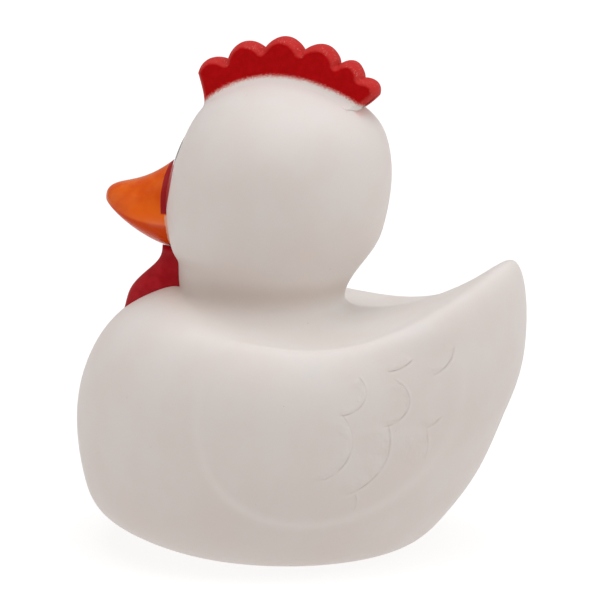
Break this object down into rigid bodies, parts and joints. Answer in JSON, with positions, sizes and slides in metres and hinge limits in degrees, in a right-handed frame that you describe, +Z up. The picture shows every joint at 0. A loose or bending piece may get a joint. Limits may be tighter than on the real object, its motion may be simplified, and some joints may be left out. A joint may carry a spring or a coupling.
{
  "type": "squeaking bath toy",
  "caption": "Hollow soft-vinyl bath toy shaped as a hen, with a red comb, orange beak and red wattles, and a push-in squeaker in its flat base.",
  "frame": {"origin": "under the middle of the hen's length and width, on the surface it stands on", "axes": "+Z up through the comb, -Y towards the beak, +X to the hen's left side"},
  "size_m": [0.071, 0.0798, 0.0897],
  "materials": {
    "white_vinyl": "satin",
    "comb_red": "satin",
    "beak_orange": "gloss",
    "wattle_red": "satin",
    "face_red": "satin",
    "eye_black": "gloss",
    "squeaker_plastic": "moulded",
    "reed_brass": "rolled",
    "glue": "set glue",
    "ballast_steel": "zinc plated"
  },
  "bodies": {
    "hen": {"body_shell": "white_vinyl", "comb": "comb_red", "beak": "beak_orange", "wattle_left": "wattle_red", "wattle_right": "wattle_red", "face_patch": "face_red", "eye_left": "eye_black", "eye_right": "eye_black", "squeaker_cup": "squeaker_plastic", "reed_seat": "squeaker_plastic", "reed_clamp": "squeaker_plastic", "ballast_glue_pad": "glue", "ballast_ring": "ballast_steel"},
    "reed": {"reed": "reed_brass"}
  },
  "joints": [
    {"name": "reed_flutter", "type": "hinge", "parent": "hen", "child": "reed", "pos_m": [0, 0, 0.0088], "axis": [0, 1, 0], "range_deg": [-4, 1.5], "stiffness_Nm_per_rad": 0.00002}
  ]
}
